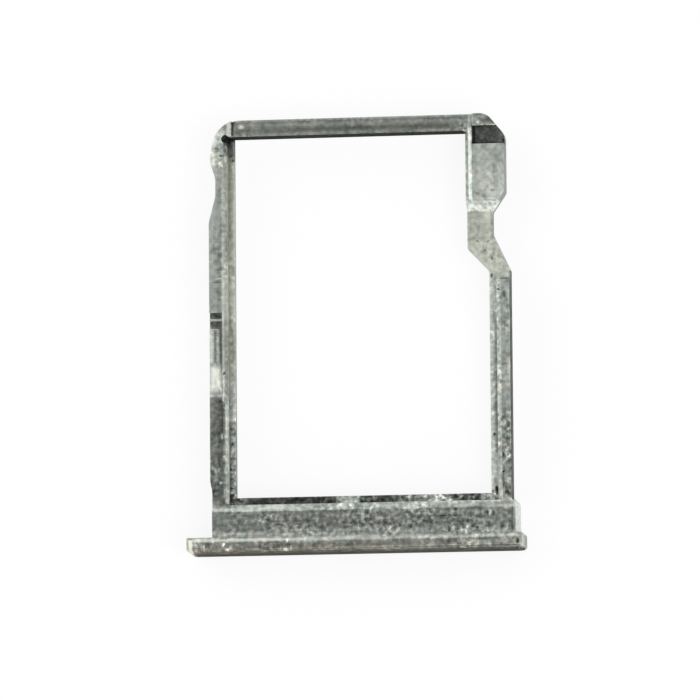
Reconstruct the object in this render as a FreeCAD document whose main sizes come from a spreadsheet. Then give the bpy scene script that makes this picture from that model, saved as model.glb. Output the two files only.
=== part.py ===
import FreeCAD, Part
import math
import os
import Sketcher

# Tray for a micro SD card, one piece of light metal: a front bezel, a block behind it
# and an open card frame. While it is drawn, X runs along the bezel from its left end,
# Y from the bezel's back face to the far bar, and Z up from the bezel's lower edge.
# The body is then placed over the middle of its own outline.

sizes = {
    # the card, and the room it has in the frame
    "card_width": 11.0,
    "card_length": 15.0,
    "card_key_width": 9.7,
    "side_clearance": 0.08,
    "end_clearance": 0.22,
    "key_clearance": 0.16,
    # bezel: flat back and top, slightly bowed front, bevelled edges
    "bezel_length": 13.76,
    "bezel_height": 2.3,
    "bezel_edge_depth": 0.59,
    "bezel_bow": 0.08,
    "bezel_back_bevel": 0.1,
    "bezel_front_bevel": 0.09,
    "eject_hole": 0.7,
    # block between the bezel and the frame
    "left_wing": 1.05,
    "block_width": 12.47,
    "block_depth": 1.32,
    "block_foot": 0.1,
    "block_height": 2.1,
    "lead_run": 0.26,
    "lead_fall": 0.12,
    "low_lead": 0.15,
    # heights of the frame
    "frame_lift": 1.05,
    "ledge_thickness": 0.4,
    "pocket_step": 0.65,
    # rails, ledges and far bar
    "left_rim": 0.76,
    "right_rim": 0.55,
    "left_ledge": 0.22,
    "right_ledge": 0.34,
    "near_ledge": 0.35,
    "far_bar": 0.7,
    "rim_lead": 0.17,
    "frame_root": 0.5,
    # left side: narrow foot of the rail, detent scallop, large far corner
    "rail_jog": 0.08,
    "jog_gap": 0.6,
    "jog_run": 0.37,
    "scallop_depth": 0.28,
    "scallop_near_run": 1.08,
    "scallop_floor": 0.74,
    "scallop_far_run": 0.78,
    "scallop_land": 0.49,
    "scallop_round": 1.0,
    "left_corner": 1.15,
    "corner_inset": 0.04,
    "corner_lean": 0.31,
    # right side: key pad with its latch groove, neck and slanted shoulder
    "pad_width": 1.6,
    "pad_side": 3.23,
    "pad_reach": 3.23,
    "pad_ramp": 0.37,
    "pad_lip": 0.3,
    "groove_land": 0.51,
    "groove_width": 0.75,
    "groove_depth": 0.42,
    "tip_cut_run": 0.72,
    "tip_cut_fall": 0.85,
    "tip_round": 0.6,
    "bevel_run": 0.8,
    "neck_width": 1.06,
    "neck_length": 0.915,
    "shoulder_run": 1.5,
    "shoulder_round": 0.25,
    "inner_neck": 1.59,
    "inner_shoulder_run": 0.93,
    "rim_start": 0.37,
    # sloped top of the far bar
    "bar_inset": 0.21,
    "bar_drop": 0.06,
    "bar_fall": 0.22,
    # relief in the top of the left rail: two cross slots, a flat and a ramp
    "relief_place": 7.93,
    "relief_slot": 0.22,
    "relief_rib": 0.12,
    "relief_second_slot": 0.3,
    "relief_floor": 1.53,
    "relief_ramp": 1.28,
    "relief_depth": 0.09,
    "slot_depth": 0.2,
    "relief_wall": 0.24,
    # round relief in the far left corner of the pocket, clear of the card's corner
    "pit_radius": 0.15,
    "pit_inset": 0.07,
    "pit_setback": 0.07,
    "pit_sink": 0.15,
    # how far a cutting profile runs past the surface it cuts
    "overrun": 1.0,
}

document = FreeCAD.newDocument("card_tray")
sheet = document.addObject("Spreadsheet::Sheet", "Sizes")
for row, (name, value) in enumerate(sizes.items(), start=1):
    sheet.set("A%d" % row, name)
    sheet.set("B%d" % row, str(value))
    sheet.setAlias("B%d" % row, name)
document.recompute()

body = document.addObject("PartDesign::Body", "CardTray")
body.Label = "card_tray"
planes = {feature.Role: feature for feature in body.Origin.OriginFeatures}

# places, each a signed sum of the named sizes
rail_left = "left_wing - rail_jog"
pocket_left = rail_left + " + left_rim"
pocket_right = pocket_left + " + card_width + side_clearance"
rail_right = pocket_right + " + right_rim"
key_wall = pocket_left + " + card_key_width + key_clearance"
pad_outer = key_wall + " + pad_width"
neck_outer = key_wall + " + neck_width"
pocket_near = "block_depth"
pocket_far = pocket_near + " + card_length + end_clearance"
far_edge = pocket_far + " + far_bar"
scallop_far = far_edge + " - left_corner - scallop_land"
scallop_deep = scallop_far + " - scallop_far_run"
scallop_rise = scallop_deep + " - scallop_floor"
scallop_near = scallop_rise + " - scallop_near_run"
pad_corner = far_edge + " - pad_side"
pad_end = pocket_far + " - pad_reach"
neck_far = pad_corner + " - bevel_run"
neck_near = neck_far + " - neck_length"
shoulder = neck_near + " - shoulder_run"
rim_end = shoulder + " - rim_start"
inner_shoulder = pad_end + " - inner_neck"
block_top = "block_foot + block_height"
ledge_top = "frame_lift + ledge_thickness"
rim_top = ledge_top + " + pocket_step"


def measure(text):
    total = 0.0
    sign = 1.0
    for word in text.split():
        if word in "+-":
            sign = 1.0 if word == "+" else -1.0
        elif word != "origin":
            total += sign * sizes[word]
    return total


def formula(text):
    return " ".join(word if word in "+-" else "Sizes." + word for word in text.split())


def new_sketch(name, plane, level):
    sketch = body.newObject("Sketcher::SketchObject", name)
    sketch.AttachmentSupport = [(planes[plane], "")]
    sketch.MapMode = "FlatFace"
    if level != "origin":
        lift = FreeCAD.Vector(0, 0, measure(level))
        sketch.AttachmentOffset = FreeCAD.Placement(lift, FreeCAD.Rotation())
        sketch.setExpression("AttachmentOffset.Base.z", formula(level))
    return sketch


def tie(sketch, kind, line, end, text, name):
    # holds one end of a line at its named place, measured from the sketch's origin
    if text == "origin":
        axis = -2 if kind == "DistanceX" else -1
        sketch.addConstraint(Sketcher.Constraint("PointOnObject", line, end, axis))
        return
    index = sketch.addConstraint(Sketcher.Constraint(kind, -1, 1, line, end, measure(text)))
    sketch.renameConstraint(index, name)
    sketch.setExpression("Constraints." + name, formula(text))


def draw_profile(sketch, corners, bowed=None, crest=None):
    # closed run of lines; the same place twice in a row makes a level or an upright line,
    # and the line numbered bowed is an arc over the crest instead
    points = [FreeCAD.Vector(measure(across), measure(up), 0) for across, up in corners]
    count = len(points)
    for i in range(count):
        start = points[i]
        end = points[(i + 1) % count]
        shape = Part.Arc(start, crest, end) if i == bowed else Part.LineSegment(start, end)
        sketch.addGeometry(shape, False)
    for i in range(count):
        sketch.addConstraint(Sketcher.Constraint("Coincident", i, 2, (i + 1) % count, 1))
    for i, (across, up) in enumerate(corners):
        after_line = i > 0 and i - 1 != bowed
        if after_line and across == corners[i - 1][0]:
            sketch.addConstraint(Sketcher.Constraint("Vertical", i - 1))
        else:
            tie(sketch, "DistanceX", i, 1, across, "across%d" % i)
        if after_line and up == corners[i - 1][1]:
            sketch.addConstraint(Sketcher.Constraint("Horizontal", i - 1))
        else:
            tie(sketch, "DistanceY", i, 1, up, "up%d" % i)
    return points


def new_pad(name, sketch, length):
    pad = body.newObject("PartDesign::Pad", name)
    pad.Profile = sketch
    pad.Length = measure(length)
    pad.setExpression("Length", formula(length))
    document.recompute()
    return pad


def new_pocket(name, sketch, length, backwards=False):
    before = body.Tip.Shape.Volume
    pocket = body.newObject("PartDesign::Pocket", name)
    pocket.Profile = sketch
    pocket.Reversed = backwards
    if length == "through":
        pocket.Type = "ThroughAll"
    else:
        pocket.Length = measure(length)
        pocket.setExpression("Length", formula(length))
    document.recompute()
    if pocket.Shape.Volume > before - 1e-6:
        raise RuntimeError(name + " cuts nothing")
    return pocket


def edges_where(test):
    found = ["Edge%d" % (i + 1) for i, edge in enumerate(body.Tip.Shape.Edges) if test(edge)]
    if not found:
        raise RuntimeError("no such edge on " + body.Tip.Name)
    return found


def upright_edges(points):
    # the upright edges that stand over the given corners of a plan
    def stands_there(edge):
        ends = [vertex.Point for vertex in edge.Vertexes]
        if len(ends) < 2 or abs(ends[0].z - ends[1].z) < 1e-6:
            return False
        for point in points:
            if all(math.hypot(end.x - point.x, end.y - point.y) < 1e-4 for end in ends):
                return True
        return False
    return edges_where(stands_there)


def round_edges(name, edges, radius):
    base = body.Tip
    fillet = body.newObject("PartDesign::Fillet", name)
    fillet.Base = (base, edges)
    fillet.Radius = measure(radius)
    fillet.setExpression("Radius", formula(radius))
    document.recompute()
    return fillet


def bevel_edges(name, edges, width):
    base = body.Tip
    chamfer = body.newObject("PartDesign::Chamfer", name)
    chamfer.Base = (base, edges)
    chamfer.Size = measure(width)
    chamfer.setExpression("Size", formula(width))
    document.recompute()
    return chamfer


# bezel: a section with bevelled edges and a bowed front, run along the bezel's length
front = "- bezel_edge_depth"
front_bevel = front + " + bezel_front_bevel"
bow_start = 5
crest = FreeCAD.Vector(-measure("bezel_edge_depth + bezel_bow"), measure("bezel_height") / 2, 0)
section = new_sketch("BezelSection", "YZ_Plane", "origin")
draw_profile(section, [
    ("- bezel_back_bevel", "origin"),
    ("origin", "bezel_back_bevel"),
    ("origin", "bezel_height - bezel_back_bevel"),
    ("- bezel_back_bevel", "bezel_height"),
    (front_bevel, "bezel_height"),
    (front, "bezel_height - bezel_front_bevel"),
    (front, "bezel_front_bevel"),
    (front_bevel, "origin"),
], bow_start, crest)
chord = measure("bezel_height - bezel_front_bevel - bezel_front_bevel")
bow_radius = chord ** 2 / (8 * measure("bezel_bow")) + measure("bezel_bow") / 2
index = section.addConstraint(Sketcher.Constraint("Radius", bow_start, bow_radius))
section.renameConstraint(index, "bow_radius")
section.setExpression(
    "Constraints.bow_radius",
    "(Sizes.bezel_height - 2 * Sizes.bezel_front_bevel) ^ 2 / (8 * Sizes.bezel_bow)"
    " + Sizes.bezel_bow / 2",
)
new_pad("Bezel", section, "bezel_length")

# the bezel's front is bevelled at both ends too
past_front = front + " - bezel_bow - overrun"
bevel_back = front_bevel + " + overrun"
for name, past_end, inner in (
    ("LeftBevel", "- overrun", "bezel_front_bevel + bezel_bow + overrun"),
    ("RightBevel", "bezel_length + overrun", "bezel_length - bezel_front_bevel - bezel_bow - overrun"),
):
    plan = new_sketch(name + "Plan", "XY_Plane", "bezel_height")
    draw_profile(plan, [(past_end, bevel_back), (inner, past_front), (past_end, past_front)])
    new_pocket(name, plan, "through")

# block: its far edge slopes down to the rails, and its lower edge is eased
section = new_sketch("BlockSection", "YZ_Plane", "left_wing")
draw_profile(section, [
    ("origin", "block_foot"),
    (pocket_near + " - low_lead", "block_foot"),
    (pocket_near, "block_foot + low_lead"),
    (pocket_near, block_top + " - lead_fall"),
    (pocket_near + " - lead_run", block_top),
    ("origin", block_top),
])
new_pad("Block", section, "block_width")

# frame: outline of the rails, the far bar and the key pad
plan = new_sketch("FramePlan", "XY_Plane", "frame_lift")
corners = draw_profile(plan, [
    ("left_wing", "frame_root"),
    (rail_right, "frame_root"),
    (rail_right, shoulder),
    (neck_outer, neck_near),
    (neck_outer, neck_far),
    (pad_outer, pad_corner),
    (pad_outer, far_edge + " - tip_cut_fall"),
    (pad_outer + " - tip_cut_run", far_edge),
    (rail_left + " + corner_inset + corner_lean", far_edge),
    (rail_left + " + corner_inset", scallop_far),
    (rail_left + " + scallop_depth", scallop_deep),
    (rail_left + " + scallop_depth", scallop_rise),
    (rail_left, scallop_near),
    (rail_left, pocket_near + " + jog_gap + jog_run"),
    ("left_wing", pocket_near + " + jog_gap"),
])
new_pad("Frame", plan, "ledge_thickness + pocket_step")
round_edges("Shoulders", upright_edges(corners[2:6]), "shoulder_round")
round_edges("RightCorner", upright_edges(corners[6:8]), "tip_round")
round_edges("LeftCorner", upright_edges(corners[8:9]), "left_corner")
round_edges("Scallop", upright_edges(corners[9:13]), "scallop_round")
round_edges("RailFoot", upright_edges(corners[13:15]), "scallop_round")

# window: the opening inside the ledge, right through the frame
plan = new_sketch("WindowPlan", "XY_Plane", "bezel_height")
corners = draw_profile(plan, [
    (pocket_left + " + left_ledge", pocket_near + " + near_ledge"),
    (pocket_right + " - right_ledge", pocket_near + " + near_ledge"),
    (pocket_right + " - right_ledge", inner_shoulder + " - inner_shoulder_run"),
    (key_wall, inner_shoulder),
    (key_wall, pocket_far),
    (pocket_left + " + left_ledge", pocket_far),
])
new_pocket("Window", plan, "through")
round_edges("InnerShoulders", upright_edges(corners[2:4]), "shoulder_round")

# card pocket: from the rims down to the ledge, open across the neck and the shoulder
plan = new_sketch("PocketPlan", "XY_Plane", rim_top)
draw_profile(plan, [
    (pocket_left, pocket_near),
    (pocket_right, pocket_near),
    (pocket_right, rim_end),
    (rail_right + " + overrun", rim_end),
    (rail_right + " + overrun", pad_end),
    (key_wall, pad_end),
    (key_wall, pocket_far),
    (pocket_left, pocket_far),
])
new_pocket("CardPocket", plan, "pocket_step")


# lead-in along both rims and the key wall, to guide the card down
def is_rim_edge(edge):
    ends = [vertex.Point for vertex in edge.Vertexes]
    if len(ends) < 2 or any(abs(end.z - measure(rim_top)) > 1e-5 for end in ends):
        return False
    for wall in (pocket_left, pocket_right, key_wall):
        if all(abs(end.x - measure(wall)) < 1e-5 for end in ends):
            return True
    return False


bevel_edges("RimLead", edges_where(is_rim_edge), "rim_lead")

# ramp at the near end of the key pad
section = new_sketch("RampSection", "YZ_Plane", key_wall)
draw_profile(section, [
    (pad_end, ledge_top),
    (pad_end + " + pad_ramp", rim_top),
    (pad_end + " + pad_ramp", rim_top + " + overrun"),
    (pad_end, rim_top + " + overrun"),
])
new_pocket("PadRamp", section, "pad_width + overrun", backwards=True)

# latch groove across the key pad, behind a lip that keeps the card in line
plan = new_sketch("GroovePlan", "XY_Plane", rim_top)
draw_profile(plan, [
    (key_wall + " + pad_lip", far_edge + " - groove_land - groove_width"),
    (pad_outer + " + overrun", far_edge + " - groove_land - groove_width"),
    (pad_outer + " + overrun", far_edge + " - groove_land"),
    (key_wall + " + pad_lip", far_edge + " - groove_land"),
])
new_pocket("LatchGroove", plan, "groove_depth")

# far bar: its top falls away towards the end that goes in first
section = new_sketch("BarSection", "YZ_Plane", pocket_left + " + bar_inset")
draw_profile(section, [
    (pocket_far, rim_top + " - bar_drop"),
    (far_edge, rim_top + " - bar_fall"),
    (far_edge, rim_top + " + overrun"),
    (pocket_far, rim_top + " + overrun"),
])
new_pocket("BarSlope", section, "card_key_width + key_clearance - bar_inset + pad_lip", backwards=True)

# relief in the left rail, from its outer side to a wall along the pocket
relief_far = pocket_near + " + relief_place"
rib_far = relief_far + " - relief_slot"
rib_near = rib_far + " - relief_rib"
floor_far = rib_near + " - relief_second_slot"
floor_near = floor_far + " - relief_floor"
section = new_sketch("ReliefSection", "YZ_Plane", rail_left + " - overrun")
draw_profile(section, [
    (relief_far, rim_top + " + overrun"),
    (relief_far, rim_top + " - slot_depth"),
    (rib_far, rim_top + " - slot_depth"),
    (rib_far, rim_top + " - relief_depth"),
    (rib_near, rim_top + " - relief_depth"),
    (rib_near, rim_top + " - slot_depth"),
    (floor_far, rim_top + " - slot_depth"),
    (floor_far, rim_top + " - relief_depth"),
    (floor_near, rim_top + " - relief_depth"),
    (floor_near + " - relief_ramp", rim_top),
    (floor_near + " - relief_ramp", rim_top + " + overrun"),
])
new_pocket("RailRelief", section, "overrun + left_rim - relief_wall", backwards=True)

# corner relief, from the rim to a little below the ledge
pit = new_sketch("CornerPitPlan", "XY_Plane", rim_top)
pit_across = pocket_left + " - pit_inset"
pit_up = pocket_far + " - pit_setback"
middle = FreeCAD.Vector(measure(pit_across), measure(pit_up), 0)
pit.addGeometry(Part.Circle(middle, FreeCAD.Vector(0, 0, 1), measure("pit_radius")), False)
tie(pit, "DistanceX", 0, 3, pit_across, "pit_across")
tie(pit, "DistanceY", 0, 3, pit_up, "pit_up")
index = pit.addConstraint(Sketcher.Constraint("Radius", 0, measure("pit_radius")))
pit.renameConstraint(index, "pit_radius")
pit.setExpression("Constraints.pit_radius", formula("pit_radius"))
new_pocket("CornerPit", pit, "pocket_step + pit_sink")

# hole for the eject pin, through the middle of the bezel's left wing
hole = new_sketch("EjectHoleFace", "XZ_Plane", "origin")
middle = FreeCAD.Vector(measure("left_wing") / 2, measure("bezel_height") / 2, 0)
hole.addGeometry(Part.Circle(middle, FreeCAD.Vector(0, 0, 1), measure("eject_hole") / 2), False)
for kind, value, name, text in (
    ("DistanceX", middle.x, "hole_across", "Sizes.left_wing / 2"),
    ("DistanceY", middle.y, "hole_up", "Sizes.bezel_height / 2"),
):
    index = hole.addConstraint(Sketcher.Constraint(kind, -1, 1, 0, 3, value))
    hole.renameConstraint(index, name)
    hole.setExpression("Constraints." + name, text)
index = hole.addConstraint(Sketcher.Constraint("Diameter", 0, measure("eject_hole")))
hole.renameConstraint(index, "hole_width")
hole.setExpression("Constraints.hole_width", formula("eject_hole"))
new_pocket("EjectHole", hole, "through", backwards=True)

# the tray stands on the bezel's lower edge, with its origin under the middle of its outline
body.setExpression("Placement.Base.x", "-Sizes.bezel_length / 2")
front_edge = "bezel_edge_depth + bezel_bow"
body.setExpression("Placement.Base.y", "(%s - (%s)) / 2" % (formula(front_edge), formula(far_edge)))
document.recompute()

for item in document.Objects:
    if "Invalid" in item.State or "Error" in item.State:
        raise RuntimeError(item.Name + " failed")
if body.Shape.isNull() or not body.Shape.isValid() or len(body.Shape.Solids) != 1:
    raise RuntimeError("the tray is not one sound solid")

os.makedirs("parts", exist_ok=True)
body.Shape.exportStep("parts/" + body.Label + ".step")
box = body.Shape.optimalBoundingBox()
print("card_tray %.3f x %.3f x %.3f mm" % (box.XLength, box.YLength, box.ZLength))
print("volume %.3f mm3" % body.Shape.Volume)
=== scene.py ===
import math

import bmesh
import bpy
from mathutils import Matrix, Vector


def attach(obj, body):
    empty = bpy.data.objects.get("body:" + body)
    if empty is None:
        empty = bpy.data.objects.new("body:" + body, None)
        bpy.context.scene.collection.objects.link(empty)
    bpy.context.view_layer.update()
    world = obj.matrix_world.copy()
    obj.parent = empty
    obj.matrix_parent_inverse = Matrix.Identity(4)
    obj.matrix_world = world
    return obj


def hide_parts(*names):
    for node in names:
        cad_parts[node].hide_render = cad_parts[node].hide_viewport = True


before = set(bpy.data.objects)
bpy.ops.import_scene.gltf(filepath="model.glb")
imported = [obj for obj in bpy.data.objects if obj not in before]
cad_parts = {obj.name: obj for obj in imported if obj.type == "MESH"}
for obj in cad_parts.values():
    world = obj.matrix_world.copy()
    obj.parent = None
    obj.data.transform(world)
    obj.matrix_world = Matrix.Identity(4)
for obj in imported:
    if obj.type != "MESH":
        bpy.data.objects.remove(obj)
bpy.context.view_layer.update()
print("frame loaded:", sorted(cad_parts))

scene = bpy.context.scene
millimetre = 0.001

# the tray: a copy of the solid with every outer edge broken, as blasting leaves it
tray = {
    "node": "card_tray",
    "body": "root",
    "slot": "blasted_metal",
    "mergeGap": 0.016,       # mm, closes the slivers
    "flatAngle": 0.4,        # degrees, below this two facets are one face
    "sharpAngle": 24,        # degrees, above this an edge gets broken
    "edgeBreak": 0.025,      # mm
    "edgeSteps": 2,
    "smoothAngle": 32,
    "datum": (5.83, 8.285, 0),   # mm, puts zero where the block's left edge meets the bezel
    "cutsAcross": (6.5,),        # mm from the datum, where the finish is parted
    "cutsAlong": (1.9, 9.6),
    "cutGap": 0.0001,            # mm, a corner nearer than this lies on the cut
    "beyond": 50,                # mm, past the tray on every side
}


def partFinish(bm, info):
    # faces are split at the cuts, and each field between them gets a material of its own
    lines = [(Vector((1, 0, 0)), cut - info["datum"][0]) for cut in info["cutsAcross"]]
    lines += [(Vector((0, 1, 0)), cut - info["datum"][1]) for cut in info["cutsAlong"]]
    for way, cut in lines:
        bmesh.ops.bisect_plane(
            bm, geom=bm.verts[:] + bm.edges[:] + bm.faces[:], dist=info["cutGap"],
            plane_co=way * cut, plane_no=way)
    for face in bm.faces:
        middle = face.calc_center_median() + Vector(info["datum"])
        column = sum(middle.x > cut for cut in info["cutsAcross"])
        row = sum(middle.y > cut for cut in info["cutsAlong"])
        face.material_index = row * (len(info["cutsAcross"]) + 1) + column


def breakEdges(info):
    bm = bmesh.new()
    bm.from_mesh(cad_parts[info["node"]].data)
    # worked in millimetres, the break is too fine for metres
    bmesh.ops.scale(bm, vec=(1 / millimetre,) * 3, verts=bm.verts)
    nearEnd = min(vert.co.y for vert in bm.verts)
    bmesh.ops.remove_doubles(bm, verts=bm.verts, dist=info["mergeGap"])
    bmesh.ops.dissolve_limit(
        bm, angle_limit=math.radians(info["flatAngle"]), verts=bm.verts, edges=bm.edges)
    edgeWearAndHighlightLayer = bm.faces.layers.float.new("edgeWearAndHighlight")
    sharp = [edge for edge in bm.edges
             if edge.is_manifold and edge.calc_face_angle() > math.radians(info["sharpAngle"])]
    made = bmesh.ops.bevel(
        bm, geom=[edge for edge in sharp if edge.is_convex], offset=info["edgeBreak"], offset_type="OFFSET",
        affect="EDGES", segments=info["edgeSteps"], profile=0.5, clamp_overlap=False, material=-1)
    for face in made["faces"]:
        face[edgeWearAndHighlightLayer] = 1.0
    bmesh.ops.recalc_face_normals(bm, faces=bm.faces)
    for vert in bm.verts:
        vert.co.y = max(vert.co.y, nearEnd)      # on the bowed front the break would stand proud
    partFinish(bm, info)
    bmesh.ops.scale(bm, vec=(millimetre,) * 3, verts=bm.verts)
    mesh = bpy.data.meshes.new("tray")
    bm.to_mesh(mesh)
    bm.free()
    mesh.shade_smooth()
    mesh.set_sharp_from_angle(angle=math.radians(info["smoothAngle"]))
    piece = bpy.data.objects.new("tray", mesh)
    scene.collection.objects.link(piece)
    return piece


trayPiece = breakEdges(tray)
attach(trayPiece, tray["body"])
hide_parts(tray["node"])
print("tray:", len(trayPiece.data.polygons), "faces")


# shader nodes: a value is a number to set or a socket to link
def setInputs(tree, node, values):
    for socket, value in values.items():
        if isinstance(value, bpy.types.NodeSocket):
            tree.links.new(value, node.inputs[socket])
        else:
            node.inputs[socket].default_value = value
    return node


def addNode(tree, kind, operation=None, values=None):
    made = tree.nodes.new("ShaderNode" + kind)
    if operation:
        made.operation = operation
    return setInputs(tree, made, values or {})


def calc(tree, operation, *values):
    return addNode(tree, "Math", operation, dict(enumerate(values))).outputs[0]


def vectorCalc(tree, operation, *values):
    return addNode(tree, "VectorMath", operation, dict(enumerate(values))).outputs[0]


def blend(tree, low, high, amount):
    return addNode(tree, "Mix", values={0: amount, 2: low, 3: high}).outputs[0]


def tinted(tree, below, above, amount):
    made = addNode(tree, "Mix")
    made.data_type = "RGBA"
    return setInputs(tree, made, {0: amount, 6: below, 7: above}).outputs[2]


def spread(tree, value, fromEnds, toEnds=(0, 1), smooth=False):
    made = addNode(tree, "MapRange", values={
        "Value": value, "From Min": fromEnds[0], "From Max": fromEnds[1],
        "To Min": toEnds[0], "To Max": toEnds[1]})
    if smooth:
        made.interpolation_type = "SMOOTHSTEP"
    return made.outputs["Result"]


def noise(tree, place, scale, detail=2.0, rough=0.5, output="Fac"):
    values = {"Vector": place, "Scale": scale, "Detail": detail, "Roughness": rough}
    return addNode(tree, "TexNoise", values=values).outputs[output]


def stretched(tree, place, scale, start=(0, 0, 0)):
    values = {"Vector": place, "Location": start, "Scale": scale}
    return addNode(tree, "Mapping", values=values).outputs["Vector"]


def wander(tree, place, scale, reach):
    # the place, strayed by up to the reach
    stray = noise(tree, place, scale, detail=3.0, output="Color")
    shift = vectorCalc(tree, "MULTIPLY_ADD", stray, (reach * 2, reach * 2, 0), (-reach, -reach, 0))
    return vectorCalc(tree, "ADD", place, shift)


# blasted metal: speckle, mottle and drawn streaks over a grey that differs from zone to zone, and the zones
# also paint light and shade into it
metal = {
    "light": (0.322, 0.350, 0.323, 1),
    "warm": (0.335, 0.345, 0.312, 1),
    "warmCloud": (0.42, 0.6),            # the mottle's noise turns the tint from light to warm
    "olive": (0.338, 0.350, 0.306, 1),   # left ledge, neck and slant
    "oliveAt": [((0.50, 7.0, 1.2), (1.00, 15.7, 2.2)), ((10.4, 10.5, 1.2), (12.5, 13.2, 1.6))],
    "oliveSoft": 0.1,
    "brown": (0.368, 0.350, 0.298, 1),   # front of the bezel, where it is handled
    "brownAlong": (-0.10, -0.60),        # mm, sets in from the block to the front
    "brownAcross": (5, 9),               # mm, and halves to the right
    "brownShare": (1.0, 0.5),
    "plainShade": 0.9,                   # walls and underside, outside all zones
    "plainGrain": 0.55,
    "zoneWaves": 2.2,                    # per mm
    "zoneWander": 0.04,                  # mm, how far the edges of the zones stray
    "markWaves": 7.0,
    "markWander": 0.07,
    "markDepth": 0.3,                    # mm, half size in height
    "markFade": (0.5, 1.3),              # in half sizes from the middle
    "fieldMargin": 0.1,                  # mm, more than any edge strays
    "noiseMean": 0.5,
    "noiseSwing": (0.3, 0.7),            # most of a noise lies between these
    "speckleScale": 5.4,                 # grains per mm
    "speckleDepth": 2.4,
    "mottleScale": 1.3,
    "mottleDepth": (-0.15, 0.15),
    "railStreak": (5, 0.45, 5),          # per mm, drawn along the rails
    "barStreak": (0.25, 7, 7),           # drawn along the bar, the block and the bezel
    "streakDepth": (-0.16, 0.16),
    "barEdge": (16.48, 16.58),           # mm, where the streaks turn
    "blockEdge": (1.38, 1.28),
    "patchScale": 0.8,                   # coarse and fine patches of grain
    "patchSwing": (0.35, 0.65),
    "patchGrain": (0.65, 1.4),
    "smoothGrain": (0.3, 1.0),           # smooth places are less cloudy and less streaked too
    "smoothShare": (0.5, 1.0),
    "darkestTone": 0.15,
    "wearAndHighlightCloud": (0.35, 0.6),          # broken edges are painted lighter in places: partly rubbed, partly painted edge highlight
    "wearAndHighlightShare": (0.2, 1.0),
    "wearAndHighlightGain": 0.8,
    "wearAndHighlightLift": 0.4,
    "metallic": 0.85,
    "shadeAndGrimeNoMetal": (0.1, 0.5),            # painted shade and grime in the dark places aren't metal
    "paintedShadeAtGlance": (0.15, 1.0),            # painted shade stays dark at a glancing angle too
    "paintedShadeGlanceTint": (0.05, 1.0),
    "roughness": (0.36, 0.56),
    "fineScale": 11.0,
    "bumpStrength": 0.5,
    "bumpDepth": 0.008,                  # mm
}
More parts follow.
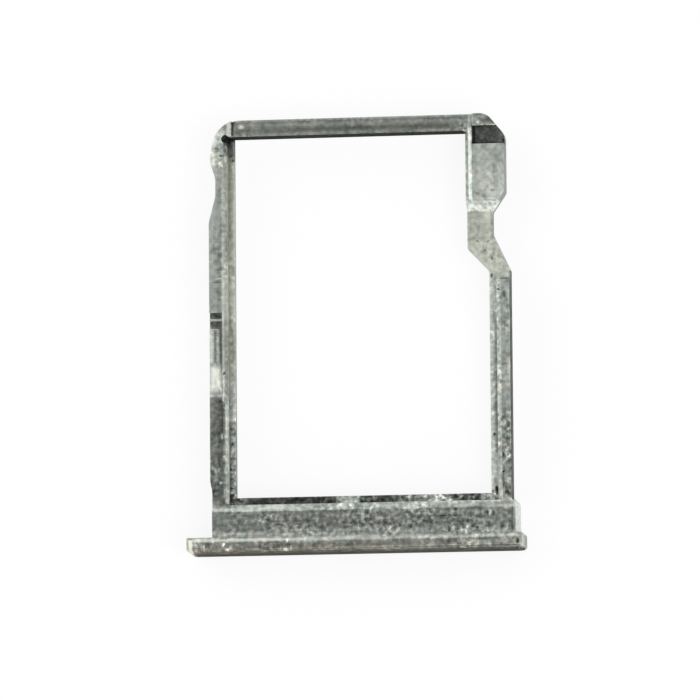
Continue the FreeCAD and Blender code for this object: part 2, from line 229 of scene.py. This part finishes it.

# zones of the surface in mm from the datum: two corners, softness, shade (1 is plain metal, and many zones
# hold painted light and shade), grain
zones = [
    # bezel
    ((-1.30, -0.90, -0.1), (12.90, -0.02, 2.5), 0.04, 0.62, 1.4),    # top
    ((3.80, -0.90, -0.1), (10.0, -0.02, 2.5), 1.00, 0.58, 0.75),     # smoother in the middle
    ((9.00, -0.90, -0.1), (12.90, -0.02, 2.5), 0.60, 0.46, 1.1),     # darker to the right
    ((-1.30, -0.90, -0.3), (12.90, -0.56, 2.15), 0.10, 0.46, 1.2),   # front in painted shade, darker still below its middle
    ((-1.30, -0.90, -0.3), (12.90, -0.50, 1.75), 0.22, 0.25, 0.7),
    ((-1.10, -0.20, 2.1), (12.70, -0.02, 2.5), 0.05, 1.55, 0.5),     # painted highlight along the block, on the back bevel
    ((-1.30, -0.80, -0.1), (-0.79, 0.02, 2.5), 0.03, 1.00, 0.4),     # left end
    ((-0.95, -0.66, 1.9), (-0.80, -0.12, 2.5), 0.03, 2.10, 0.2),     # painted highlight strip on it
    ((12.67, -0.80, -0.1), (12.90, 0.02, 2.22), 0.03, 0.90, 0.5),    # right end, with painted highlight on its upper part
    ((12.67, -0.80, 1.1), (12.90, 0.02, 2.22), 0.15, 1.60, 0.5),
    # block
    ((-0.10, 0.01, 2.1), (6.00, 1.08, 2.4), 0.06, 0.50, 1.3),        # top
    ((6.00, 0.01, 2.1), (12.60, 1.08, 2.4), 0.30, 0.54, 1.9),
    ((1.80, 0.30, 2.1), (3.60, 0.95, 2.4), 0.25, 0.56, 2.4),
    ((-0.10, 0.00, 2.1), (12.60, 0.18, 2.4), 0.16, 1.10, 1.2),       # paler beside the bezel
    ((12.33, 0.10, 2.1), (12.60, 1.08, 2.4), 0.05, 0.34, 1.0),
    ((-0.10, 1.06, 1.9), (12.60, 1.38, 2.4), 0.06, 1.44, 0.9),       # lead down to the rails, painted highlight
    ((-0.10, 1.22, 1.9), (1.30, 1.42, 2.4), 0.06, 0.80, 1.3),
    ((12.44, 0.02, -0.4), (12.60, 1.38, 2.17), 0.10, 2.40, 0.5),     # right wall, painted highlight
    # near ledge, painted shade nearly black, lighter in stretches
    ((0.50, 1.30, 1.3), (5.06, 1.78, 1.7), 0.08, 0.20, 2.0),
    ((0.50, 1.30, 1.3), (1.46, 1.78, 1.7), 0.12, 0.42, 1.8),
    ((5.06, 1.30, 1.3), (6.02, 1.78, 1.7), 0.08, 1.25, 1.9),
    ((6.02, 1.30, 1.3), (7.45, 1.78, 1.7), 0.10, 0.22, 2.4),
    ((7.45, 1.30, 1.3), (8.65, 1.78, 1.7), 0.15, 0.55, 2.2),
    ((8.65, 1.30, 1.3), (9.80, 1.78, 1.7), 0.15, 1.20, 2.0),
    ((9.80, 1.30, 1.3), (11.05, 1.78, 1.7), 0.15, 0.42, 2.8),
    ((11.05, 1.30, 1.3), (11.90, 1.78, 1.7), 0.10, 0.80, 2.6),
    # left rim, from the block to the far corner, with its relief
    ((-0.20, 1.33, 1.8), (0.55, 5.78, 2.3), 0.04, 0.44, 0.9),
    ((0.26, 1.70, 1.8), (0.50, 5.70, 2.3), 0.07, 0.25, 0.9),
    ((-0.20, 1.50, 1.8), (0.40, 3.10, 2.3), 0.40, 0.46, 1.7),
    ((-0.20, 5.78, 1.8), (0.47, 5.90, 2.3), 0.03, 1.20, 0.8),        # light line at the step
    ((-0.05, 6.08, 1.8), (0.40, 7.02, 2.3), 0.16, 1.90, 0.4),        # painted highlight on the ramp
    ((-0.20, 7.08, 1.9), (0.47, 8.61, 2.3), 0.10, 1.00, 1.2),
    ((-0.20, 7.20, 1.9), (0.02, 8.58, 2.3), 0.05, 1.30, 0.8),        # drawn lines
    ((0.10, 7.20, 1.9), (0.20, 8.55, 2.3), 0.05, 0.44, 1.0),
    ((0.32, 7.20, 1.9), (0.46, 8.58, 2.3), 0.05, 0.40, 1.0),
    ((-0.20, 8.58, 1.8), (0.47, 8.93, 1.96), 0.03, 0.32, 1.4),       # two slots in painted shade, and the rib
    ((-0.20, 9.01, 1.8), (0.47, 9.28, 1.96), 0.03, 0.30, 1.4),
    ((-0.20, 8.93, 1.96), (0.47, 9.01, 2.3), 0.02, 1.10, 0.8),
    ((-0.20, 9.26, 1.9), (0.51, 13.00, 2.3), 0.06, 0.88, 0.55),
    ((-0.20, 13.00, 1.9), (0.51, 15.28, 2.3), 0.40, 0.90, 0.5),
    ((-0.20, 15.28, 1.9), (0.90, 17.48, 2.3), 0.25, 1.46, 0.9),      # far corner
    ((0.28, 9.30, 2.0), (0.40, 12.60, 2.3), 0.06, 0.66, 0.7),        # darker line before the lead
    # left lead and ledge, the lead lightened with painted highlight
    ((0.44, 9.00, 1.8), (0.68, 15.60, 2.2), 0.03, 1.15, 0.7),
    ((0.44, 5.60, 1.8), (0.68, 9.00, 2.2), 0.03, 0.95, 0.9),
    ((0.46, 5.60, 1.8), (0.55, 15.60, 2.2), 0.03, 1.30, 0.7),        # painted highlight line
    ((0.55, 1.38, 1.8), (0.68, 5.60, 2.2), 0.03, 1.42, 0.9),
    ((0.68, 1.78, 1.3), (1.00, 5.68, 1.6), 0.05, 0.76, 1.8),
    ((0.68, 5.00, 1.3), (1.00, 9.00, 1.6), 0.60, 1.16, 0.9),
    ((0.68, 9.00, 1.3), (1.00, 15.68, 1.6), 0.20, 1.46, 0.6),
    ((0.64, 15.75, 1.2), (1.00, 16.70, 1.6), 0.30, 0.42, 1.4),       # shadowed end
    ((0.52, 15.75, 1.2), (0.75, 16.50, 2.05), 0.08, 0.66, 1.4),
    ((0.40, 16.25, 1.2), (0.80, 16.66, 2.05), 0.05, 0.18, 0.8),
    ((0.68, 16.54, 1.9), (0.88, 17.30, 2.3), 0.04, 2.30, 0.4),       # painted highlight strip beside the bar
    # far bar
    ((0.89, 16.53, 1.8), (10.84, 17.48, 2.3), 0.04, 0.55, 0.7),
    ((0.95, 16.60, 1.8), (2.20, 17.30, 2.3), 0.50, 0.74, 0.8),
    ((0.95, 16.93, 1.8), (10.66, 17.08, 2.3), 0.06, 0.74, 0.6),      # bands of painted light and shade
    ((1.20, 16.72, 1.8), (3.20, 16.85, 2.3), 0.06, 0.50, 0.6),
    ((3.20, 16.72, 1.8), (9.90, 16.85, 2.3), 0.06, 0.32, 0.5),
    # painted highlights on the inner edge and on the far edge
    ((0.95, 16.57, 1.8), (10.40, 16.66, 2.3), 0.04, 0.72, 0.8),
    ((0.95, 17.16, 1.8), (10.66, 17.40, 2.3), 0.05, 0.95, 0.6),
    ((10.30, 16.60, 1.8), (10.60, 17.10, 2.3), 0.10, 0.86, 1.6),
    # painted shadow at the bar's left end
    ((0.88, 16.60, 1.8), (0.97, 17.25, 2.3), 0.03, 0.22, 0.6),
    ((0.90, 16.38, 1.0), (10.52, 16.58, 2.0), 0.03, 0.12, 0.5),      # inner wall, painted shade
    # key pad
    ((10.84, 13.58, 1.9), (12.30, 17.48, 2.3), 0.05, 1.18, 0.35),    # top
    ((10.64, 16.50, 1.8), (10.84, 17.40, 2.3), 0.03, 1.35, 0.8),     # lip
    ((10.50, 13.48, 1.8), (10.84, 16.58, 2.2), 0.03, 1.30, 0.7),
    ((10.67, 13.40, 1.8), (10.82, 16.66, 2.3), 0.03, 2.50, 0.3),     # painted highlight line on it
    ((10.50, 13.23, 1.4), (12.30, 13.64, 2.15), 0.06, 2.25, 0.6),    # ramp to the neck, painted highlight
    ((10.84, 15.96, 1.6), (12.30, 16.75, 2.0), 0.04, 0.28, 1.4),     # latch groove in painted shade, darkest along its near and left edges
    ((10.84, 15.96, 1.6), (12.30, 16.07, 2.0), 0.03, 0.08, 0.5),
    ((10.82, 15.96, 1.6), (10.93, 16.75, 2.0), 0.03, 0.08, 0.5),
    ((10.88, 16.78, 1.9), (12.30, 17.48, 2.3), 0.05, 0.70, 1.4),     # tip
    # neck and slant
    ((10.40, 12.20, 1.3), (12.50, 13.28, 1.6), 0.05, 1.32, 0.3),
    ((10.40, 10.43, 1.3), (12.50, 12.20, 1.6), 0.30, 1.50, 0.35),
    ((11.52, 12.10, 1.3), (11.80, 13.28, 1.6), 0.05, 0.95, 0.6),     # darker outer edge
    # right rim, ledge and outer wall
    ((11.92, 7.50, 1.9), (12.60, 10.38, 2.3), 0.40, 1.14, 0.7),
    ((11.92, 4.78, 1.9), (12.60, 7.50, 2.3), 0.40, 0.91, 0.9),
    ((11.92, 1.33, 1.9), (12.60, 4.78, 2.3), 0.40, 0.78, 2.2),
    ((12.22, 1.40, 1.9), (12.60, 4.60, 2.3), 0.06, 0.48, 1.8),
    ((12.20, 7.20, 1.9), (12.60, 9.60, 2.3), 0.05, 0.85, 1.0),
    ((11.88, 10.36, 1.9), (12.40, 10.46, 2.3), 0.03, 0.40, 0.8),     # end of the rim
    ((11.75, 1.38, 1.8), (11.93, 10.40, 2.09), 0.02, 1.50, 1.2),     # lead, painted highlight
    ((11.30, 1.78, 1.3), (11.76, 10.48, 1.6), 0.05, 1.40, 0.9),      # ledge
    ((11.54, 1.78, 1.3), (11.76, 9.20, 1.6), 0.04, 1.25, 1.0),
    ((11.61, 3.30, 1.3), (11.78, 8.80, 1.6), 0.05, 0.76, 0.8),       # painted shade under the lead
    ((12.28, 1.38, 0.9), (12.40, 10.78, 2.05), 0.03, 0.46, 0.8),     # outer wall, painted shade
]

# single pits, rubbed spots and painted shadows in mm from the datum: middle, half size, shade
marks = [
    # far left corner, the first two painted shadow where the ledge ends
    ((0.80, 16.52, 1.45), (0.20, 0.08), 0.05),
    ((0.60, 16.36, 2.05), (0.12, 0.05), 0.14),
    ((0.86, 15.64, 1.45), (0.06, 0.08), 0.15),
    ((0.46, 15.76, 2.10), (0.10, 0.05), 0.55),
    ((0.25, 16.08, 2.10), (0.12, 0.04), 0.55),
    ((0.26, 16.20, 2.10), (0.07, 0.05), 1.80),
    ((0.45, 16.00, 2.10), (0.07, 0.05), 1.70),
    ((0.60, 15.60, 2.10), (0.08, 0.10), 1.60),
    # far bar
    ((1.25, 16.95, 2.00), (0.15, 0.08), 1.35),
    ((10.35, 16.78, 2.00), (0.05, 0.12), 1.30),
    ((10.50, 16.58, 2.00), (0.05, 0.10), 1.50),
    # left rim
    ((0.25, 10.52, 2.10), (0.20, 0.04), 0.45),
    ((0.30, 10.66, 2.10), (0.18, 0.03), 1.40),
    ((0.52, 6.75, 2.10), (0.06, 0.07), 0.25),
    ((0.42, 4.15, 2.00), (0.05, 0.15), 1.10),
    ((0.52, 3.35, 2.00), (0.06, 0.06), 1.20),
    ((0.37, 2.25, 2.10), (0.06, 0.06), 0.90),
    ((0.12, 1.92, 2.10), (0.14, 0.08), 0.20),
    # left ledge
    ((0.76, 3.90, 1.45), (0.07, 0.07), 0.22),
    ((0.70, 3.30, 1.45), (0.06, 0.07), 0.30),
    ((0.66, 2.84, 1.45), (0.07, 0.07), 0.18),
    ((0.72, 2.46, 1.45), (0.13, 0.05), 0.28),
    ((0.72, 2.06, 1.45), (0.12, 0.05), 0.18),
    ((0.72, 1.76, 1.45), (0.14, 0.09), 0.14),
    # slant
    ((10.95, 12.05, 1.45), (0.06, 0.06), 0.75),
    ((11.25, 11.65, 1.45), (0.06, 0.06), 0.70),
    ((11.55, 11.30, 1.45), (0.06, 0.08), 0.70),
    ((11.40, 12.00, 1.45), (0.05, 0.06), 0.75),
    # right rim
    ((12.08, 9.74, 2.10), (0.09, 0.13), 0.48),
    ((11.85, 9.95, 2.10), (0.07, 0.07), 0.22),
    ((11.84, 10.48, 2.10), (0.07, 0.07), 0.18),
    ((11.93, 6.16, 2.10), (0.07, 0.07), 0.40),
    ((12.20, 4.36, 2.10), (0.06, 0.12), 0.35),
    ((11.98, 3.18, 2.10), (0.06, 0.12), 0.15),
    ((12.20, 3.16, 2.10), (0.12, 0.12), 1.40),
    ((12.20, 3.16, 2.10), (0.05, 0.05), 0.35),
    ((12.00, 2.48, 2.10), (0.08, 0.07), 0.10),
    ((12.34, 2.68, 2.10), (0.06, 0.12), 0.30),
    ((12.20, 2.10, 2.10), (0.10, 0.16), 1.15),
    ((11.97, 2.08, 2.10), (0.06, 0.25), 0.40),
    ((12.14, 1.66, 2.10), (0.09, 0.08), 0.20),
    # right ledge
    ((11.73, 10.38, 1.90), (0.05, 0.13), 2.20),
    ((11.52, 10.60, 1.45), (0.06, 0.11), 0.28),
    ((11.57, 4.08, 1.45), (0.07, 0.07), 0.14),
    ((11.73, 3.40, 1.90), (0.04, 0.11), 0.40),
    ((11.65, 1.80, 1.45), (0.09, 0.17), 0.08),
    # block
    ((10.00, 0.96, 2.15), (0.12, 0.06), 0.22),
    ((10.00, 0.70, 2.20), (0.12, 0.05), 0.20),
    ((11.34, 0.78, 2.20), (0.05, 0.12), 0.14),
    ((11.55, 0.78, 2.20), (0.05, 0.10), 0.25),
    ((11.45, 0.82, 2.20), (0.05, 0.11), 1.60),
    ((10.90, 0.22, 2.20), (0.09, 0.08), 0.30),
    ((11.90, 0.22, 2.20), (0.09, 0.08), 0.30),
    ((9.75, 0.15, 2.20), (0.05, 0.13), 0.20),
    ((7.78, 0.32, 2.20), (0.08, 0.07), 0.22),
    ((8.20, 0.32, 2.20), (0.08, 0.07), 0.24),
    ((9.50, 0.70, 2.20), (0.14, 0.05), 0.14),
    ((8.78, 0.48, 2.20), (0.14, 0.14), 0.34),
    ((7.90, 0.52, 2.20), (0.04, 0.16), 1.30),
    ((8.98, 0.80, 2.20), (0.11, 0.05), 1.40),
    ((2.78, 0.48, 2.20), (0.19, 0.05), 0.25),
    ((3.55, 0.48, 2.20), (0.19, 0.05), 0.22),
    # bezel
    ((0.50, -0.30, 2.30), (0.06, 0.07), 1.90),
    ((0.62, -0.52, 2.20), (0.10, 0.07), 1.40),
    ((3.10, -0.17, 2.30), (0.07, 0.06), 2.20),
    ((3.05, -0.54, 2.30), (0.12, 0.08), 1.40),
    ((3.26, -0.48, 2.30), (0.05, 0.12), 1.30),
    ((3.15, -0.34, 2.30), (0.13, 0.05), 0.25),
    ((-0.32, -0.43, 2.30), (0.05, 0.12), 1.30),
    ((11.42, -0.48, 2.30), (0.06, 0.16), 0.95),
    ((10.40, -0.56, 2.30), (0.07, 0.10), 0.90),
    ((12.55, -0.40, 2.30), (0.07, 0.16), 0.10),
    ((9.75, -0.34, 2.30), (0.11, 0.11), 0.35),
    # key pad
    ((11.04, 13.92, 2.10), (0.10, 0.07), 0.70),
    ((11.30, 13.82, 2.10), (0.08, 0.09), 0.62),
    ((11.65, 14.04, 2.10), (0.10, 0.06), 0.74),
    ((11.08, 16.88, 2.10), (0.08, 0.07), 1.50),
    ((11.37, 16.72, 2.10), (0.08, 0.06), 0.24),
    ((11.78, 16.64, 1.90), (0.10, 0.06), 0.10),
    ((12.08, 16.15, 1.70), (0.06, 0.08), 0.08),
]


def newMask(name, sockets):
    tree = bpy.data.node_groups.new(name, "ShaderNodeTree")
    for socket, kind in sockets.items():
        tree.interface.new_socket(name=socket, in_out="INPUT", socket_type="NodeSocket" + kind)
    tree.interface.new_socket(name="Mask", in_out="OUTPUT", socket_type="NodeSocketFloat")
    return tree, tree.nodes.new("NodeGroupInput").outputs, tree.nodes.new("NodeGroupOutput")


def zoneGroup():
    # 1 inside a box, fading to 0 across its soft edge
    tree, given, end = newMask(
        "zoneMask", {"Place": "Vector", "Middle": "Vector", "Half": "Vector", "Soft": "Float"})
    apart = vectorCalc(tree, "SUBTRACT", given["Place"], given["Middle"])
    outside = vectorCalc(tree, "SUBTRACT", vectorCalc(tree, "ABSOLUTE", apart), given["Half"])
    parts = addNode(tree, "SeparateXYZ", values={0: outside}).outputs
    most = calc(tree, "MAXIMUM", calc(tree, "MAXIMUM", parts["X"], parts["Y"]), parts["Z"])
    fade = spread(tree, calc(tree, "DIVIDE", most, given["Soft"]), (-1, 1), (1, 0), smooth=True)
    setInputs(tree, end, {"Mask": fade})
    return tree


def markGroup(fadeEnds):
    # 1 in the middle of an oval, 0 a little outside it
    tree, given, end = newMask("markMask", {"Place": "Vector", "Middle": "Vector", "Half": "Vector"})
    apart = vectorCalc(tree, "SUBTRACT", given["Place"], given["Middle"])
    share = vectorCalc(tree, "DIVIDE", apart, given["Half"])
    far = addNode(tree, "VectorMath", "LENGTH", {0: share}).outputs["Value"]
    setInputs(tree, end, {"Mask": spread(tree, far, fadeEnds, (1, 0), smooth=True)})
    return tree


def useMask(tree, group, values):
    made = tree.nodes.new("ShaderNodeGroup")
    made.node_tree = group
    return setInputs(tree, made, values).outputs["Mask"]


def boxMask(tree, group, place, low, high, soft):
    middle = (Vector(low) + Vector(high)) / 2
    half = (Vector(high) - Vector(low)) / 2
    return useMask(tree, group, {"Place": place, "Middle": middle, "Half": half, "Soft": soft})


def inField(low, high, field, reach):
    return all(low[i] - reach < field[1][i] and high[i] + reach > field[0][i] for i in range(2))


def wornAndPaintedShade(tree, info, places, field, masks):
    # shade and grain, from the zones and marks that reach into the field; the shade holds painted light and
    # shade besides rubbing and pits
    shade = info["plainShade"]
    grain = info["plainGrain"]
    for low, high, soft, zoneShade, zoneGrain in zones:
        if inField(low, high, field, soft + info["fieldMargin"]):
            mask = boxMask(tree, masks["zone"], places["zone"], low, high, soft)
            shade = blend(tree, shade, zoneShade, mask)
            grain = blend(tree, grain, zoneGrain, mask)
    for middle, half, markShade in marks:
        reach = max(half) * info["markFade"][1] + info["fieldMargin"]
        if inField(middle, middle, field, reach):
            mask = useMask(tree, masks["mark"], {
                "Place": places["mark"], "Middle": middle, "Half": (*half, info["markDepth"])})
            shade = blend(tree, shade, markShade, mask)
    return shade, grain


def makePatterns(tree, info, place):
    # grain, cloudy mottle and streaks along the rails or along the bar
    parts = addNode(tree, "SeparateXYZ", values={0: place}).outputs
    onBar = spread(tree, parts["Y"], info["barEdge"])
    onBlock = spread(tree, parts["Y"], info["blockEdge"])
    railStreak = noise(tree, stretched(tree, place, info["railStreak"]), scale=1.0, detail=1.0)
    barStreak = noise(tree, stretched(tree, place, info["barStreak"]), scale=1.0)
    return {
        "speckle": noise(tree, place, info["speckleScale"]),
        "cloud": noise(tree, place, info["mottleScale"], detail=3.0, rough=0.55),
        "streak": blend(tree, railStreak, barStreak, calc(tree, "MAXIMUM", onBar, onBlock)),
        "patch": noise(tree, place, info["patchScale"], detail=1.0),
        "fine": noise(tree, place, info["fineScale"], rough=0.6),
        "across": parts["X"],
        "along": parts["Y"],
    }


def grainTone(tree, info, grain, pattern):
    patchy = spread(tree, pattern["patch"], info["patchSwing"], info["patchGrain"])
    grain = calc(tree, "MULTIPLY", grain, patchy)
    speckle = calc(tree, "MULTIPLY", calc(tree, "SUBTRACT", pattern["speckle"], info["noiseMean"]), grain)
    tone = calc(tree, "POWER", math.e, calc(tree, "MULTIPLY", speckle, info["speckleDepth"]))
    mottle = spread(tree, pattern["cloud"], info["noiseSwing"], info["mottleDepth"])
    streaks = spread(tree, pattern["streak"], info["noiseSwing"], info["streakDepth"])
    share = spread(tree, grain, info["smoothGrain"], info["smoothShare"])
    uneven = calc(tree, "MULTIPLY", calc(tree, "ADD", mottle, streaks), share)
    tone = calc(tree, "MULTIPLY", tone, calc(tree, "ADD", uneven, 1.0))
    return calc(tree, "MAXIMUM", tone, info["darkestTone"])


def wearAndHighlightEdges(tree, info, shade, pattern):
    # broken edges lighter in places: partly rubbed, partly painted edge highlight
    edgeWearAndHighlight = addNode(tree, "Attribute")
    edgeWearAndHighlight.attribute_name = "edgeWearAndHighlight"
    share = spread(tree, pattern["cloud"], info["wearAndHighlightCloud"], info["wearAndHighlightShare"])
    lighter = calc(tree, "ADD", calc(tree, "MULTIPLY", shade, info["wearAndHighlightGain"]), info["wearAndHighlightLift"])
    return blend(tree, shade, lighter, calc(tree, "MULTIPLY", edgeWearAndHighlight.outputs["Fac"], share))


def metalTint(tree, info, place, field, zoneTree, pattern):
    tint = tinted(tree, info["light"], info["warm"], spread(tree, pattern["cloud"], info["warmCloud"]))
    for low, high in info["oliveAt"]:
        if inField(low, high, field, info["oliveSoft"] + info["fieldMargin"]):
            mask = boxMask(tree, zoneTree, place, low, high, info["oliveSoft"])
            tint = tinted(tree, tint, info["olive"], mask)
    nearFront = spread(tree, pattern["along"], info["brownAlong"])
    toLeft = spread(tree, pattern["across"], info["brownAcross"], info["brownShare"])
    return tinted(tree, tint, info["brown"], calc(tree, "MULTIPLY", nearFront, toLeft))


def makeMetal(info, name, field, masks):
    material = bpy.data.materials.new(name)
    material.use_nodes = True
    tree = material.node_tree
    coords = addNode(tree, "TexCoord").outputs["Object"]
    place = stretched(tree, coords, (1 / millimetre,) * 3, tray["datum"])      # mm from the datum
    places = {
        "zone": wander(tree, place, info["zoneWaves"], info["zoneWander"]),
        "mark": wander(tree, place, info["markWaves"], info["markWander"]),
    }
    shade, grain = wornAndPaintedShade(tree, info, places, field, masks)
    pattern = makePatterns(tree, info, place)
    tone = grainTone(tree, info, grain, pattern)
    shade = wearAndHighlightEdges(tree, info, shade, pattern)
    tint = metalTint(tree, info, places["zone"], field, masks["zone"], pattern)
    colour = addNode(tree, "VectorMath", "SCALE", {0: tint, "Scale": calc(tree, "MULTIPLY", tone, shade)})
    bump = addNode(tree, "Bump", values={
        "Strength": info["bumpStrength"],
        "Distance": info["bumpDepth"] * millimetre,
        "Height": pattern["fine"],
    })
    setInputs(tree, tree.nodes["Principled BSDF"], {
        "Base Color": colour.outputs[0],
        "Metallic": spread(tree, shade, info["shadeAndGrimeNoMetal"], (0, info["metallic"])),
        "Specular IOR Level": 0.0,
        "Specular Tint": spread(tree, shade, info["paintedShadeAtGlance"], info["paintedShadeGlanceTint"]),
        "Roughness": spread(tree, pattern["speckle"], info["noiseSwing"], info["roughness"]),
        "Normal": bump.outputs["Normal"],
    })
    return material


columns = (-tray["beyond"], *tray["cutsAcross"], tray["beyond"])
rows = (-tray["beyond"], *tray["cutsAlong"], tray["beyond"])
masks = {"zone": zoneGroup(), "mark": markGroup(metal["markFade"])}
for row in range(len(rows) - 1):
    for column in range(len(columns) - 1):
        field = ((columns[column], rows[row]), (columns[column + 1], rows[row + 1]))
        finish = makeMetal(metal, "blastedMetal%d%d" % (row, column), field, masks)
        trayPiece.data.materials.append(finish)
        print("metal:", finish.name, len(finish.node_tree.nodes), "nodes")
# the replaced solid takes the first of them
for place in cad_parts[tray["node"]].material_slots:
    place.material = trayPiece.data.materials[0]

# the floor shows white to the camera and in the metal, and keeps the tray's shadow
floor = {
    "size": 1.2,
    "drop": 0.00001,         # clear of the underside
    "colour": (0.93, 0.93, 0.93, 1),
    "showsWhite": 0.85,
}


def makeFloor(info):
    bm = bmesh.new()
    bmesh.ops.create_grid(bm, x_segments=1, y_segments=1, size=info["size"] / 2)
    bmesh.ops.translate(bm, vec=(0, 0, -info["drop"]), verts=bm.verts)
    mesh = bpy.data.meshes.new("floor")
    bm.to_mesh(mesh)
    bm.free()
    piece = bpy.data.objects.new("floor", mesh)
    scene.collection.objects.link(piece)
    material = bpy.data.materials.new("paleFloor")
    material.use_nodes = True
    tree = material.node_tree
    tree.nodes.remove(tree.nodes["Principled BSDF"])
    plain = addNode(tree, "BsdfDiffuse", values={"Color": info["colour"]}).outputs[0]
    white = addNode(tree, "Emission").outputs[0]
    rays = addNode(tree, "LightPath").outputs
    seen = calc(tree, "MAXIMUM", rays["Is Camera Ray"], rays["Is Glossy Ray"])
    seen = calc(tree, "MAXIMUM", seen, rays["Is Transmission Ray"])
    share = calc(tree, "MULTIPLY", seen, info["showsWhite"])
    mixed = addNode(tree, "MixShader", values={0: share, 1: plain, 2: white}).outputs[0]
    setInputs(tree, tree.nodes["Material Output"], {"Surface": mixed})
    mesh.materials.append(material)
    return piece


makeFloor(floor)

# soft light from all round, weaker overhead, and white where the camera looks past the floor
studio = {
    "overhead": 0.55,
    "round": 1.1,
    "low": 0.25,             # the light falls off between these, as the height of the direction
    "high": 0.92,
}
world = bpy.data.worlds.new("studio")
scene.world = world
world.use_nodes = True
sky = world.node_tree
way = addNode(sky, "TexCoord").outputs["Generated"]
height = addNode(sky, "SeparateXYZ", values={0: way}).outputs["Z"]
glow = spread(
    sky, height, (studio["low"], studio["high"]), (studio["round"], studio["overhead"]), smooth=True)
strength = blend(sky, glow, 1.0, addNode(sky, "LightPath").outputs["Is Camera Ray"])
setInputs(sky, sky.nodes["Background"], {"Color": (1, 1, 1, 1), "Strength": strength})

lamps = [
    {"name": "key", "place": (0.16, -0.10, 0.30), "size": 0.20, "power": 0.45},
    {"name": "fill", "place": (-0.22, 0.10, 0.26), "size": 0.24, "power": 0.25},
]
for lamp in lamps:
    light = bpy.data.lights.new(lamp["name"], "AREA")
    light.size = lamp["size"]
    light.energy = lamp["power"]
    holder = bpy.data.objects.new(lamp["name"], light)
    holder.location = lamp["place"]
    holder.rotation_euler = Vector(lamp["place"]).to_track_quat("Z", "Y").to_euler()
    scene.collection.objects.link(holder)
print("floor and lamps set")

# camera: nearly straight down, a little from the right and from the bezel's side
view = {
    "leanRight": 0.130604,   # across for each metre of height
    "leanNear": 0.119533,
    "roll": -0.0083739,      # radians
    "distance": 0.280,
    "target": (-0.00036863, -0.00044246, 0.0),
    "pixel": 0.0000412,      # metres in the plane of the target
    "pixels": 700,
    "sensor": 36,
    "clip": (0.005, 10),
}
back = Vector((view["leanRight"], -view["leanNear"], 1)).normalized()
level = (Vector((0, 1, 0)) - back * back.y).normalized()
side = level.cross(back)
right = side * math.cos(view["roll"]) + level * math.sin(view["roll"])
up = level * math.cos(view["roll"]) - side * math.sin(view["roll"])
lens = bpy.data.cameras.new("camera")
lens.sensor_width = view["sensor"]
lens.lens = view["sensor"] * view["distance"] / (view["pixel"] * view["pixels"])
lens.clip_start, lens.clip_end = view["clip"]
camera = bpy.data.objects.new("camera", lens)
turn = Matrix((right, up, back)).transposed().to_4x4()
camera.matrix_world = Matrix.Translation(Vector(view["target"]) + back * view["distance"]) @ turn
scene.collection.objects.link(camera)
scene.camera = camera

scene.view_settings.view_transform = "Standard"
